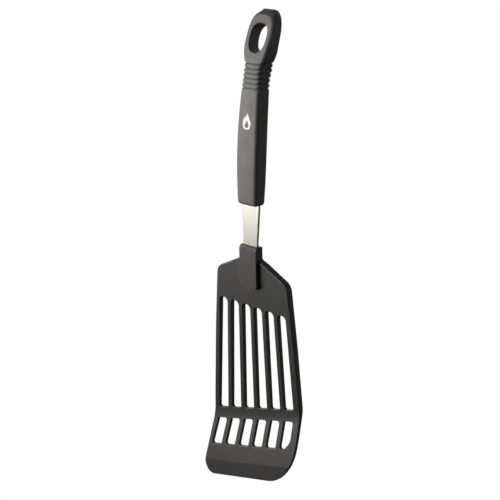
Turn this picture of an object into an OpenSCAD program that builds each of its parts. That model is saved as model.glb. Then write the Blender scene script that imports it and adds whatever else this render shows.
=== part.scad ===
// Grill spatula with a long slim handle, a flat steel neck and a slotted head.
// It hangs upright from its eye. +Z points up along the handle, X runs across
// the blade and the front of the blade faces -Y. The origin is the middle of
// the hanging eye.

/* [Handle] */
// Height of the flat lower end of the handle
handle_bottom = -111.7; // [-122:0.1:-105]
// Radius of the rounding round the lower end
handle_end_r = 2.2; // [0.8:0.1:2.6]
// Squareness of the handle's cross section, 2 is an ellipse
section_power = 6; // [3:0.5:8]
// Height of the highest grip groove
groove_top = -15.6; // [-16.4:0.1:-14.4]
// Distance from one grip groove to the next
groove_pitch = 3.25; // [3:0.05:3.6]
// Number of grip grooves
groove_count = 6; // [4:1:7]
// Depth of a grip groove
groove_depth = 0.45; // [0.2:0.05:0.8]

/* [Hanging loop] */
// Half of the loop's outside width
loop_half_w = 12; // [11:0.1:13]
// Half of the loop's length along its own lean, before its top is cut flat
loop_half_l = 20.9; // [20.6:0.1:22]
// Distance from the middle of the eye up to the middle of the loop
loop_rise = 0.5; // [0:0.1:1]
// Distance from the middle of the eye up to the loop's flat top
loop_flat_up = 20.1; // [19:0.1:20.4]
// Size of the facet along the front of that flat top
top_facet = 5; // [2:0.1:6]
// Backward lean of the loop
loop_lean = 18.5; // [12:0.5:22]
// Half of the loop's thickness, square to its face
loop_half_t = 5; // [4.5:0.1:5.5]
// Half of the eye's width
eye_half_w = 7.2; // [6:0.1:8]
// Half of the eye's length
eye_half_l = 9.6; // [8:0.1:11.5]
// Squareness of the eye, 2 is an ellipse
eye_power = 2.6; // [2:0.1:4]

/* [Handle core] */
// Width of the stiff core inside the handle
core_w = 12.4; // [11:0.1:14]
// Depth of the core where it is deepest
core_d = 6.4; // [5:0.1:7]
// Height of the core's upper end
core_top = -26.2; // [-38:0.1:-25]

/* [Neck strip] */
// Thickness of the steel strip
strip_t = 1.8; // [1.2:0.1:2.2]
// Distance of the strip's middle plane in front of the eye
strip_forward = 10.2; // [9.8:0.1:10.6]
// Width of the strip where it leaves the handle
strip_w_top = 16; // [14:0.1:16.4]
// Width of the strip where it enters the head
strip_w_low = 13.2; // [11:0.1:13.6]
// Width of the narrow tang inside the handle
tang_w = 8.4; // [7:0.1:9]
// Height of the tang's upper end
tang_top = -42.2; // [-58:0.1:-40.2]
// Depth to which the full width of the strip enters the handle
strip_seat = 4; // [2:0.5:6]
// Depth to which the strip enters the head's socket
strip_in_head = 24; // [18:1:26]
// Diameter of the locking holes in the strip
lock_hole_d = 5; // [3:0.1:6]

/* [Head] */
// Backward lean of the upper blade
blade_lean = 3.7; // [2:0.1:5]
// Forward bend of the lower blade
bend_angle = 19; // [12:0.5:24]
// Radius of the bend, on the front
bend_r = 35; // [25:1:45]
// Skew of the bend line, the lower slots and the leading edge
skew = 16; // [10:0.5:18]
// Height of the bend line in the middle of the blade
bend_height = -270.7; // [-274:0.1:-267]
// Distance of the front face in front of the eye, at the bend line
bend_forward = 3.2; // [2.6:0.1:3.8]
// Distance from the bend line up to the point where all sides and slots meet
fan_length = 538; // [500:1:600]
// Half of the blade's width at the bend line
bend_half_w = 44.1; // [42:0.1:46]
// Flare of each side above the bend, as run over height
side_flare = 0.083; // [0.07:0.001:0.09]
// Flare of each side near the shoulders
top_flare = 0.1; // [0.09:0.001:0.12]
// Flare of each side below the bend
low_flare = 0.05; // [0.03:0.005:0.07]
// Distance from the bend line up to the point where the flare changes
flare_up = 62; // [50:1:75]
// Distance from the bend line up to the outer end of the shoulders
shoulder_up = 110.3; // [106:0.1:112]
// Slope of the shoulders, as rise over run
shoulder_slope = 0.5; // [0.3:0.05:0.7]
// Distance from the bend line down to the leading edge, along the blade
edge_down = 48; // [44:0.1:50]
// Skew of the leading edge
edge_skew = 15.2; // [10:0.1:18]
// Width of the thin ground band along the leading edge
edge_band = 11.6; // [9:0.1:14]
// Thickness of the blade at the shoulders
thick_top = 4.2; // [3.5:0.1:4.6]
// Thickness of the blade at the bend
thick_bend = 2.6; // [2.4:0.1:3.4]
// Thickness of the blade where the edge band starts
thick_band = 2.2; // [1.5:0.1:2.4]
// Thickness of the leading edge
thick_edge = 0.8; // [0.6:0.1:1.4]
// Height of the rim that runs round the back of the upper blade
rim_h = 1.2; // [0.6:0.1:1.6]
// Width of that rim
rim_w = 2.6; // [1.5:0.1:3.5]
// Radius of the low corner of the leading edge
corner_low_r = 9.5; // [5:0.5:12]
// Radius of the high corner of the leading edge
corner_high_r = 30; // [15:0.5:31]
// Radius of the shoulder corners
shoulder_r = 8; // [5:0.5:10]

/* [Slots] */
// Number of slots in each row
slot_count = 6; // [4:1:6]
// Angle from one slot to the next
slot_step = 1.43; // [1.38:0.005:1.45]
// Angle that one slot takes up
slot_angle = 0.97; // [0.85:0.01:1.05]
// Angle by which all slots are turned away from the middle line
slot_turn = 0.08; // [0:0.01:0.12]
// Distance from the bend line up to the top of the upper slots
slot_top_up = 84.5; // [78:0.5:88]
// Distance from the bend line to the slots next to it, on both sides
slot_bend_gap = 4.1; // [3.5:0.1:5.5]
// Distance from the bend line down to the end of the lower slots, along the blade
slot_low_end = 24.2; // [20:0.1:27]
// Radius of the small slot corners
slot_corner_r = 1.5; // [1:0.1:1.8]
// Part of the last lower slot's end that its big corner cuts off
slot_cut_part = 0.55; // [0.4:0.01:0.6]
// Distance up that slot's side to which the big corner is cut off
slot_cut_up = 5; // [4:0.1:6]

/* [Socket] */
// Height of the socket's upper end
socket_top = -141; // [-143:0.1:-139.4]
// Height of the socket's lower end on the front
socket_low = -172.2; // [-175:0.1:-168]
// Half of the socket's width
socket_half_w = 8.3; // [7.6:0.1:8.8]
// Distance of the socket's front face in front of the eye, at its top
socket_forward = 13.9; // [13.5:0.1:14.6]
// Backward slope of the socket's front face, as run over length
socket_slope = 0.035; // [0:0.005:0.05]
// Size of the bevel along the socket's upper edge
socket_bevel = 2; // [1:0.1:2.4]
// Radius of the socket's two lower corners
socket_r = 3; // [1.5:0.1:4]
// Radius of the hollow between the socket's sides and the shoulders
root_r = 4.5; // [2:0.1:6]

/* [Mark] */
// Height of the middle of the printed flame
mark_height = -53.7; // [-58:0.1:-49]
// Height of the printed flame
mark_l = 11; // [6:0.1:13]
// How far the print stands proud of the handle
mark_proud = 0.06; // [0.04:0.01:0.1]

/* [Hidden] */
$fn = 48;
loop_tan = tan(loop_lean);
loop_d = loop_half_t / cos(loop_lean);
loop_top = loop_flat_up * cos(loop_lean);
strip_front = -strip_forward - strip_t / 2;
strip_end = socket_top - strip_in_head;
groove_half = 0.9;
section_steps = 32;
loop_power = 2.3;
mark_slope = 4.3;
mark_depth = 0.5;
core_taper_from = -58.2;
core_taper = 0.012;
far_up = 170;
far_wide = 240;
through_y = 30;
side_r = 600;
bend_side_r = 250;
shoulder_at = 28;
rim_end_up = -12;
cut_side_r = 9;
cut_end_r = 4;

// Stations up the handle: height, middle plane, half depth, half width
STATIONS = [
    [-112.2, -10.3, 5.5, 8.9],
    [-98.2, -10.2, 5.9, 9.4],
    [-78.2, -9.9, 6.25, 9.7],
    [-58.2, -9, 6.25, 9.5],
    [-43.2, -7.8, 6.25, 9],
    [-28.2, -6.1, 6.35, 8.3],
    [-18.2, -3.9, 7, 8],
    [-6.2, -1.75, 5.85, 8],
    [1.8, 1.8 * loop_tan, loop_d, 8],
    [20, 20 * loop_tan, loop_d, 8]
];

// Smooth value in column c at height z, by a Hermite curve through the stations
function slope_at(i, c) = let(a = max(i - 1, 0), b = min(i + 1, len(STATIONS) - 1))
    (STATIONS[b][c] - STATIONS[a][c]) / (STATIONS[b][0] - STATIONS[a][0]);
function station_below(z, i = 0) =
    i >= len(STATIONS) - 2 || STATIONS[i + 1][0] > z ? i : station_below(z, i + 1);
function station_value(z, c) = let(
        i = station_below(z),
        h = STATIONS[i + 1][0] - STATIONS[i][0],
        t = (z - STATIONS[i][0]) / h)
    STATIONS[i][c] * (2 * t * t * t - 3 * t * t + 1)
    + slope_at(i, c) * h * (t * t * t - 2 * t * t + t)
    + STATIONS[i + 1][c] * (3 * t * t - 2 * t * t * t)
    + slope_at(i + 1, c) * h * (t * t * t - t * t);

// Half width of the loop at height z, and zero below it
function loop_half_at(z) = let(v = abs(z / cos(loop_lean) - loop_rise) / loop_half_l)
    v >= 1 ? 0 : loop_half_w * pow(1 - pow(v, loop_power), 1 / loop_power);

// Inward step of the surface at the rounded lower end
function end_inset(z) = let(d = min(z - handle_bottom, handle_end_r))
    handle_end_r - sqrt(handle_end_r * handle_end_r - (handle_end_r - d) * (handle_end_r - d));

// Inward step of the surface at the grip grooves
function groove_inset(z) = let(
        k = round((groove_top - z) / groove_pitch),
        d = abs(z - groove_top + k * groove_pitch) / groove_half)
    k < 0 || k >= groove_count || d >= 1 ? 0 : groove_depth * (1 - d * d);

function signed_power(v, p) = sign(v) * pow(abs(v), p);

// Heights of the handle's rings, from the bottom to the top
ROUNDED_HEIGHTS = [for (d = [0, 0.15, 0.5, 1]) handle_bottom + d * handle_end_r];
BODY_HEIGHTS = [for (z = [handle_bottom + 8 : 8 : -40]) z];
GROOVE_HEIGHTS = [for (k = [groove_count - 1 : -1 : 0], d = [-1, -0.5, 0, 0.5, 1])
    groove_top - k * groove_pitch + d * groove_half];
LOOP_HEIGHTS = [for (a = [-50 : 10 : 60])
    (loop_half_l * sin(a) + loop_rise) * cos(loop_lean)];
RING_HEIGHTS = concat(ROUNDED_HEIGHTS, BODY_HEIGHTS, GROOVE_HEIGHTS, LOOP_HEIGHTS, [loop_top]);

function ring_half_w(z) = z > -8 ? loop_half_at(z) : max(station_value(z, 3), loop_half_at(z));
function ring_half_d(z) = station_value(z, 2) * (z > 0 ? pow(loop_half_at(z) / loop_half_w, 0.15) : 1);
function ring(z) = let(
        inset = end_inset(z) + groove_inset(z),
        a = ring_half_w(z) - inset,
        b = ring_half_d(z) - inset)
    [for (k = [0 : section_steps - 1]) let(t = 360 * (k + 0.5) / section_steps)
        [a * signed_power(cos(t), 2 / section_power),
         station_value(z, 1) + b * signed_power(sin(t), 2 / section_power),
         z]];

// A closed skin through a stack of rings with the same number of points
module skin(rings) {
    n = len(rings[0]);
    m = len(rings);
    polyhedron(
        points = [for (r = rings) each r],
        faces = concat(
            [[for (k = [0 : n - 1]) k]],
            [for (j = [0 : m - 2], k = [0 : n - 1])
                [j * n + k, (j + 1) * n + k, (j + 1) * n + (k + 1) % n]],
            [for (j = [0 : m - 2], k = [0 : n - 1])
                [j * n + k, (j + 1) * n + (k + 1) % n, j * n + (k + 1) % n]],
            [[for (k = [n - 1 : -1 : 0]) (m - 1) * n + k]]));
}

// Points of a polygon whose corners are rounded by the given radii
function unit(v) = v / norm(v);
function arc_points(p, q, s, r) = let(
        u = unit(p - q),
        w = unit(s - q),
        half = acos(u * w) / 2,
        middle = q + unit(u + w) * r / sin(half),
        from = q + u * r / tan(half) - middle,
        to = q + w * r / tan(half) - middle,
        a = atan2(from[1], from[0]),
        turn = atan2(from[0] * to[1] - from[1] * to[0], from * to),
        steps = max(2, ceil(abs(turn) / 18)))
    [for (k = [0 : steps]) middle + r * [cos(a + turn * k / steps), sin(a + turn * k / steps)]];
function rounded(points, radii) = let(n = len(points))
    [for (i = [0 : n - 1]) each radii[i] > 0
        ? arc_points(points[(i + n - 1) % n], points[i], points[(i + 1) % n], radii[i])
        : [points[i]]];

// A front view outline, given as x and height, made into a solid through y
module through(front, back) {
    translate([0, back, 0])
        rotate([90, 0, 0])
            linear_extrude(back - front)
                children();
}

// A side view outline, given as y and height, made into a solid of width w
module across(w) {
    translate([-w / 2, 0, 0])
        rotate([90, 0, 90])
            linear_extrude(w)
                children();
}

// ---- neck strip ----

module strip_outline() {
    polygon(rounded([
        [-tang_w / 2, tang_top],
        [-tang_w / 2, handle_bottom + strip_seat],
        [-strip_w_top / 2, handle_bottom + strip_seat],
        [-strip_w_top / 2, handle_bottom - 3],
        [-strip_w_low / 2, socket_top + 3],
        [-strip_w_low / 2, strip_end],
        [strip_w_low / 2, strip_end],
        [strip_w_low / 2, socket_top + 3],
        [strip_w_top / 2, handle_bottom - 3],
        [strip_w_top / 2, handle_bottom + strip_seat],
        [tang_w / 2, handle_bottom + strip_seat],
        [tang_w / 2, tang_top]
    ], [2, 0, 1.2, 0, 0, 2, 2, 0, 0, 1.2, 0, 2]));
}

module strip_blank() {
    through(strip_front, strip_front + strip_t)
        strip_outline();
}

LOCK_HEIGHTS = [tang_top - 10, tang_top - 40, strip_end + 8];

module lock_holes() {
    for (z = LOCK_HEIGHTS)
        translate([0, strip_front + strip_t / 2, z])
            rotate([90, 0, 0])
                cylinder(h = strip_t + 2, d = lock_hole_d, center = true);
}

module lock_plug(z) {
    translate([0, strip_front + strip_t / 2, z])
        rotate([90, 0, 0])
            cylinder(h = strip_t, d = lock_hole_d, center = true);
}

module neck_strip() {
    color("silver")
        difference() {
            strip_blank();
            lock_holes();
        }
}

// ---- handle ----

// Side view of the core: its middle plane follows the handle
CORE_HEIGHTS = [handle_bottom, -98, -83, -68, -53, -40, core_top];
function core_side(z) = core_d / 2 - core_taper * max(z - core_taper_from, 0);

module core_blank() {
    across(core_w)
        polygon(concat(
            [for (z = CORE_HEIGHTS) [station_value(z, 1) - core_side(z), z]],
            [for (i = [len(CORE_HEIGHTS) - 1 : -1 : 0]) let(z = CORE_HEIGHTS[i])
                [station_value(z, 1) + core_side(z), z]]));
}

module handle_core() {
    color("dimgray") {
        difference() {
            core_blank();
            strip_blank();
        }
        lock_plug(LOCK_HEIGHTS[0]);
        lock_plug(LOCK_HEIGHTS[1]);
    }
}

module eye_cutter() {
    rotate([-loop_lean, 0, 0])
        through(-12, 12)
            polygon([for (a = [0 : 10 : 350])
                let(reach = pow(pow(abs(cos(a)), eye_power) + pow(abs(sin(a)), eye_power), -1 / eye_power))
                [eye_half_w * cos(a) * reach, eye_half_l * sin(a) * reach]]);
}

module facet_cutter() {
    spare = 5;
    rotate([-loop_lean, 0, 0])
        across(4 * loop_half_w)
            polygon([
                [-loop_half_t - spare, loop_flat_up - top_facet - spare],
                [-loop_half_t + top_facet + spare, loop_flat_up + spare],
                [-loop_half_t - spare, loop_flat_up + spare]
            ]);
}

module handle_grip() {
    color("gray")
        difference() {
            skin([for (z = RING_HEIGHTS) ring(z)]);
            eye_cutter();
            facet_cutter();
            core_blank();
            strip_blank();
            handle_mark();
        }
}

// ---- printed flame ----

module flame_outline() {
    h = mark_l / 9;
    difference() {
        polygon(rounded([
            [0.2 * h, 4.6 * h],
            [-1.4 * h, 1.6 * h],
            [-2.1 * h, 2.4 * h],
            [-3.2 * h, -1.2 * h],
            [-2.4 * h, -4.4 * h],
            [2.4 * h, -4.4 * h],
            [3.2 * h, -0.6 * h],
            [1.6 * h, 2.2 * h]
        ], [0, 0.4, 0, 2.2, 2, 2, 2.2, 1.2]));
        polygon(rounded([
            [0.3 * h, 0.6 * h],
            [-1.4 * h, -2 * h],
            [-0.9 * h, -3.6 * h],
            [0.9 * h, -3.6 * h],
            [1.4 * h, -1.8 * h]
        ], [0, 0.9, 0.7, 0.7, 0.9]));
    }
}

module handle_mark() {
    front = station_value(mark_height, 1) - station_value(mark_height, 2);
    color("white")
        translate([0, front, mark_height])
            rotate([-mark_slope, 0, 0])
                through(-mark_proud, mark_depth)
                    flame_outline();
}

// ---- head ----

// Everything of the blade is drawn with the bend line through the origin
module on_blade() {
    translate([0, -bend_forward, bend_height])
        rotate([blade_lean, 0, 0])
            children();
}

skew_tan = tan(skew);
bend_run = bend_r * tan(bend_angle / 2);
function fan_x(angle, up) = (fan_length - up) * tan(angle);

// Point of the blade's section: s runs down along the front from the bend
// line, d is the depth behind the front face
function section_point(s, d) =
    s < -bend_run ? [d, -s]
    : s > bend_run ? [-s * sin(bend_angle) + d * cos(bend_angle),
                      -s * cos(bend_angle) - d * sin(bend_angle)]
    : let(a = bend_angle * (s + bend_run) / (2 * bend_run))
      [(bend_r + d) * cos(a) - bend_r, bend_run - (bend_r + d) * sin(a)];

BEND_STEPS = [for (k = [0 : 8]) bend_run * (k / 4 - 1)];
band_start = edge_down - edge_band;
thick_rate = (thick_top - thick_bend) / shoulder_up;

// Section of the blade, square to the bend line, given as y and distance up.
// The extra thickness of the rim fades out across the bend.
module blade_section(extra) {
    last = len(BEND_STEPS) - 1;
    past = edge_down + edge_band / 2;
    front = concat([[-far_up, 0]], [for (s = BEND_STEPS) [s, 0]],
        [[band_start, 0], [edge_down, thick_band - thick_edge], [past, thick_band - thick_edge]]);
    back = concat([[past, thick_band], [band_start, thick_band]],
        [for (i = [last : -1 : 0]) [BEND_STEPS[i], thick_bend + extra * (last - i) / last]],
        [[-far_up, thick_bend + extra + far_up * thick_rate]]);
    polygon([for (p = concat(front, back)) section_point(p[0], p[1])]);
}

low_cos = cos(bend_angle);

// Crossing of the side at the given angle with a skew line at distance s
function fan_cross(angle, s) = let(
        up = (fan_length * tan(angle) * skew_tan - s / cos(skew)) / (1 + tan(angle) * skew_tan))
    [fan_x(angle, up), up];

// Half width of the blade at distance up from the bend line
function side_x(up) = bend_half_w - side_flare * min(up, flare_up)
    - top_flare * max(up - flare_up, 0);

// Corner between one side below the bend and the leading edge, side is -1 or 1
function low_corner(side) = let(
        turn = tan(edge_skew),
        low = edge_down * low_cos / cos(edge_skew),
        x = (bend_half_w + low_flare * low) / (1 + side * low_flare * turn))
    [side * x, side * x * turn - low];

// Front view of the blade, drawn in by the given inset on its sides and top
module blade_outline(inset) {
    end_up = shoulder_up - inset;
    end_x = side_x(end_up) - inset;
    run_x = socket_half_w - 1;
    shoulder = end_up - shoulder_slope * (end_x - shoulder_at);
    neck = end_up + shoulder_slope * (shoulder_at - run_x);
    bend_x = bend_half_w - inset;
    flare_x = side_x(flare_up) - inset;
    polygon(rounded([
        [-run_x, neck],
        [-end_x, shoulder],
        [-flare_x, flare_up],
        [-bend_x, 0],
        low_corner(-1) + [inset, 0],
        low_corner(1) - [inset, 0],
        [bend_x, 0],
        [flare_x, flare_up],
        [end_x, shoulder],
        [run_x, neck]
    ], [0, shoulder_r - inset, side_r, bend_side_r, corner_low_r, corner_high_r, bend_side_r, side_r,
        shoulder_r - inset, 0]));
}

// Hollow corners that lead from the shoulders up into the socket's sides
module socket_root() {
    x = socket_half_w - 0.4;
    far_x = x + 2 * root_r;
    up = shoulder_up + shoulder_slope * (shoulder_at - x);
    far_z = shoulder_up + shoulder_slope * (shoulder_at - far_x);
    polygon(rounded([
        [-x, up + root_r],
        [-x, up],
        [-far_x, far_z],
        [far_x, far_z],
        [x, up],
        [x, up + root_r]
    ], [0, root_r, 0, 0, root_r, 0]));
}

function slot_middle(i) = (i - (slot_count - 1) / 2) * slot_step - slot_turn;

module upper_slot(i) {
    a = slot_middle(i) - slot_angle / 2;
    b = slot_middle(i) + slot_angle / 2;
    top_r = 0.44 * (fan_x(b, slot_top_up) - fan_x(a, slot_top_up));
    polygon(rounded([
        [fan_x(a, slot_top_up), slot_top_up],
        fan_cross(a, -slot_bend_gap),
        fan_cross(b, -slot_bend_gap),
        [fan_x(b, slot_top_up), slot_top_up]
    ], [top_r, slot_corner_r, slot_corner_r, top_r]));
}

module lower_slot(i) {
    a = slot_middle(i) - slot_angle / 2;
    b = slot_middle(i) + slot_angle / 2;
    left = fan_cross(a, slot_low_end * low_cos);
    right = fan_cross(b, slot_low_end * low_cos);
    top = fan_cross(b, slot_bend_gap);
    cut = [right + (left - right) * slot_cut_part, right + unit(top - right) * slot_cut_up];
    ends = i == slot_count - 1 ? cut : [right];
    radii = i == slot_count - 1 ? [cut_end_r, cut_side_r] : [slot_corner_r];
    polygon(rounded(
        concat([fan_cross(a, slot_bend_gap), left], ends, [top]),
        concat([slot_corner_r, slot_corner_r], radii, [slot_corner_r])));
}

module blade() {
    on_blade()
        difference() {
            intersection() {
                rotate([0, -skew, 0])
                    across(far_wide)
                        blade_section(0);
                through(-through_y, through_y) {
                    blade_outline(0);
                    socket_root();
                }
            }
            for (i = [0 : slot_count - 1]) {
                through(-through_y, through_y)
                    upper_slot(i);
                through(-through_y, through_y)
                    lower_slot(i);
            }
        }
}

// The rim stands behind the blade along its sides and shoulders
module rim() {
    on_blade()
        intersection() {
            rotate([0, -skew, 0])
                across(far_wide)
                    blade_section(rim_h);
            difference() {
                through(-through_y, through_y)
                    blade_outline(0);
                through(-through_y - 1, through_y + 1)
                    blade_outline(rim_w);
                through(-through_y - 2, through_y + 2) {
                    translate([-far_wide / 2, rim_end_up - far_wide])
                        square(far_wide);
                    translate([0.4 - socket_half_w, shoulder_up])
                        square([2 * socket_half_w - 0.8, far_up - shoulder_up]);
                }
            }
        }
}

// The socket stands proud of the blade and ends flush with the blade's back
module socket() {
    front = -socket_forward;
    proud = 0.2;
    bevel_run = 0.8 * socket_bevel;
    blade_back = -bend_forward + (bend_height - socket_top) * tan(blade_lean) + thick_top + proud;
    low_back = blade_back + (socket_top - socket_low) * tan(blade_lean);
    intersection() {
        across(3 * socket_half_w)
            polygon([
                [front + bevel_run, socket_top],
                [front, socket_top - socket_bevel],
                [front + (socket_top - socket_low) * socket_slope, socket_low],
                [low_back - 1, socket_low],
                [blade_back, socket_top]
            ]);
        through(-through_y, through_y)
            polygon(rounded([
                [-socket_half_w, socket_low],
                [socket_half_w, socket_low],
                [socket_half_w, socket_top],
                [-socket_half_w, socket_top]
            ], [socket_r, socket_r, 1, 1]));
    }
}

module turner_head() {
    color([0.2, 0.2, 0.2])
        difference() {
            union() {
                blade();
                rim();
                socket();
            }
            difference() {
                strip_blank();
                lock_plug(LOCK_HEIGHTS[2]);
            }
        }
}

handle_grip();
handle_core();
neck_strip();
turner_head();
handle_mark();
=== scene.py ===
import math

import bmesh
import bpy
import numpy as np
from mathutils import Matrix, Vector
from mathutils.geometry import delaunay_2d_cdt


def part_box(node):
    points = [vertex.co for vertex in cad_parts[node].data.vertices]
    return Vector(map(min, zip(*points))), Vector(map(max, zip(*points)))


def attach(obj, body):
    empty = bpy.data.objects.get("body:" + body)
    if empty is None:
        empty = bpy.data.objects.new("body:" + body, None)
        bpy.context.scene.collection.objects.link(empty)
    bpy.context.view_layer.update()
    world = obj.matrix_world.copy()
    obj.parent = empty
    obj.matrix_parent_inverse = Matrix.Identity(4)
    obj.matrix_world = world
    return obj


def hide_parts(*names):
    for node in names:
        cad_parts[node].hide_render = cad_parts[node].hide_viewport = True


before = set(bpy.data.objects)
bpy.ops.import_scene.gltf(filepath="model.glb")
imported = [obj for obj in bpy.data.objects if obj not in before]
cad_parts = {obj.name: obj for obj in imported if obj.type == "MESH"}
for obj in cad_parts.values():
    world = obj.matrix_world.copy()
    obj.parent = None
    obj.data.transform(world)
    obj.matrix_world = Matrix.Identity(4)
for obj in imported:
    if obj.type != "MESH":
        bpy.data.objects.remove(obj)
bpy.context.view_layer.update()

MM = 0.001
WELD = 1e-6


def box_mm(node):
    """Lowest and highest corner of a CAD node, in millimetres."""
    low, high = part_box(node)
    return low / MM, high / MM


GRIP_LOW, GRIP_HIGH = box_mm("handle_grip")
CORE_LOW, CORE_HIGH = box_mm("handle_core")
STRIP_LOW, STRIP_HIGH = box_mm("neck_strip")
HEAD_HIGH = box_mm("turner_head")[1]
MARK_LOW, MARK_HIGH = box_mm("handle_mark")


# ---------------------------------------------------------------- helpers

def mix(a, b, t):
    """The value a part t of the way from a to b."""
    return a + (b - a) * t


def smooth_step(low, high, value):
    """0 below low, 1 above high, and a soft curve in between."""
    t = min(max((value - low) / (high - low), 0.0), 1.0)
    return t * t * (3 - 2 * t)


def spaced(low, high, count):
    """count + 1 evenly spaced numbers from low to high."""
    return [mix(low, high, i / count) for i in range(count + 1)]


class Shell:
    """Points and faces of a mesh that is built up row by row."""

    def __init__(self):
        self.points = []
        self.faces = []

    def row(self, points):
        """Adds points and returns their numbers."""
        first = len(self.points)
        self.points += points
        return list(range(first, len(self.points)))

    def join(self, a, b, closed=True):
        """Adds the faces between two rows of numbers."""
        n = len(a)
        for k in range(n if closed else n - 1):
            after = (k + 1) % n
            self.faces.append((a[k], a[after], b[after], b[k]))

    def next_row(self, before, points):
        """Adds a closed row that is joined to the one before it."""
        numbers = self.row(points)
        self.join(before, numbers)
        return numbers


def new_piece(name, points, faces, material=None, node=None):
    """A mesh from points in millimetres, in place of a CAD node if one is given."""
    mesh = bpy.data.meshes.new(name)
    build = bmesh.new()
    verts = [build.verts.new(Vector(p) * MM) for p in points]
    for face in faces:
        build.faces.new([verts[i] for i in face])
    bmesh.ops.remove_doubles(build, verts=build.verts, dist=WELD)
    bmesh.ops.recalc_face_normals(build, faces=build.faces)
    build.to_mesh(mesh)
    build.free()
    piece = bpy.data.objects.new(name, mesh)
    bpy.context.scene.collection.objects.link(piece)
    if material:
        mesh.materials.append(material)
    if node:
        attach(piece, "root")
        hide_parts(node)
    return piece


def smooth_shade(piece, crease_angle):
    """Smooth shading that keeps edges sharper than the angle, in degrees."""
    piece.data.shade_smooth()
    piece.data.set_sharp_from_angle(angle=math.radians(crease_angle))


# ------------------------------------------------- outlines and flat pieces

def arc_corner(before, corner, after, radius, step_angle=9):
    """Points of the arc that rounds one corner of an outline."""
    p, q, s = (np.array(v, float) for v in (before, corner, after))
    u = (p - q) / np.linalg.norm(p - q)
    w = (s - q) / np.linalg.norm(s - q)
    half = math.acos(max(-1.0, min(1.0, float(u @ w)))) / 2
    middle = q + (u + w) / np.linalg.norm(u + w) * radius / math.sin(half)
    start = q + u * radius / math.tan(half) - middle
    end = q + w * radius / math.tan(half) - middle
    angle = math.atan2(start[1], start[0])
    turn = math.atan2(start[0] * end[1] - start[1] * end[0], float(start @ end))
    steps = max(3, math.ceil(abs(math.degrees(turn)) / step_angle))
    turns = [angle + turn * k / steps for k in range(steps + 1)]
    return [tuple(middle + radius * np.array((math.cos(a), math.sin(a)))) for a in turns]


def rounded(points, radii):
    """An outline with its corners rounded by the given radii."""
    out = []
    for i, radius in enumerate(radii):
        if radius > 0:
            out += arc_corner(points[i - 1], points[i], points[(i + 1) % len(points)], radius)
        else:
            out.append(points[i])
    return out


def divided(loop, longest):
    """The same closed outline with no edge longer than the given length."""
    out = []
    for i, a in enumerate(loop):
        b = loop[(i + 1) % len(loop)]
        parts = max(1, math.ceil(math.dist(a, b) / longest))
        out += [(mix(a[0], b[0], k / parts), mix(a[1], b[1], k / parts)) for k in range(parts)]
    return out


def area(loop):
    """Area inside an outline, positive where it runs counterclockwise."""
    total = sum(a[0] * b[1] - a[1] * b[0] for a, b in zip(loop, loop[1:] + loop[:1]))
    return total / 2


def inward(loop):
    """Unit normals of a closed outline, to the left of its direction."""
    out = []
    for i, here in enumerate(loop):
        back = np.array(here) - np.array(loop[i - 1])
        ahead = np.array(loop[(i + 1) % len(loop)]) - np.array(here)
        along = back / np.linalg.norm(back) + ahead / np.linalg.norm(ahead)
        along /= np.linalg.norm(along)
        out.append((-along[1], along[0]))
    return out


def inside(loop, points):
    """For each point, whether it is inside the outline."""
    x, z = points[:, 0], points[:, 1]
    result = np.zeros(len(points), bool)
    for (ax, az), (bx, bz) in zip(loop, loop[1:] + loop[:1]):
        if az == bz:
            continue
        crosses = (az > z) != (bz > z)
        result ^= crosses & (x < ax + (z - az) * (bx - ax) / (bz - az))
    return result


def edge_rows(front_r, back_r, steps=5):
    """Rim of a flat piece as rows of inset, side, depth and lift. Side 0 counts
    the depth from the front face and side 1 from the back face, and lift is
    the part of the back rim's height that the row has."""
    flat = 0.25

    def quarter(r, side):
        turns = [math.radians(90) * k / steps for k in range(steps + 1)]
        return [(r * (1 - math.sin(t)), side, r * (1 - math.cos(t)), 0.0) for t in turns]

    front = [(front_r + flat, 0, 0.0, 0.0)] + quarter(front_r, 0)
    back = [(back_r + flat, 1, 0.0, 0.0)] + quarter(back_r, 1)
    return front + back[::-1]


CREASE_GAP = 0.5
RIM_GAP = 0.75
POINT_GAP = 0.7
SLIVER = 1e-4


def kept_triangles(triangles, places, rim_edges, outer, holes):
    """The triangles between the outlines. Those that meet across an edge that
    is not on a rim go together, and the biggest of them decides, so that a
    sliver along a straight rim is never judged by itself."""
    triangles = np.array(triangles)
    a, b, c = (places[triangles[:, k]] for k in range(3))
    u, v = b - a, c - a
    sizes = abs(u[:, 0] * v[:, 1] - u[:, 1] * v[:, 0]) / 2
    middles = (a + b + c) / 3
    good = inside(outer, middles)
    for hole in holes:
        good &= ~inside(hole, middles)
    across = {}
    for i, t in enumerate(triangles):
        for p, q in ((t[0], t[1]), (t[1], t[2]), (t[2], t[0])):
            across.setdefault((min(p, q), max(p, q)), []).append(i)
    near = [[] for _ in triangles]
    for edge, pair in across.items():
        if edge not in rim_edges and len(pair) == 2:
            near[pair[0]].append(pair[1])
            near[pair[1]].append(pair[0])
    kept = []
    seen = set()
    for first in range(len(triangles)):
        group = [] if first in seen else [first]
        seen.add(first)
        for i in group:
            fresh = [j for j in near[i] if j not in seen]
            seen.update(fresh)
            group += fresh
        if group:
            biggest = max(group, key=lambda i: sizes[i])
            if sizes[biggest] > SLIVER and good[biggest]:
                kept += group
    return [list(triangles[i]) for i in kept]


def clear_of_rim(points, gap, outer, holes, rim):
    """The points as an array, and for each whether it is between the outlines
    and further than the gap from all the rim's points."""
    points = np.array(points, float).reshape(-1, 2)
    good = inside(outer, points)
    for hole in holes:
        good &= ~inside(hole, points)
    for i in np.nonzero(good)[0]:
        good[i] = np.hypot(*(rim - points[i]).T).min() > gap
    return points, good


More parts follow.
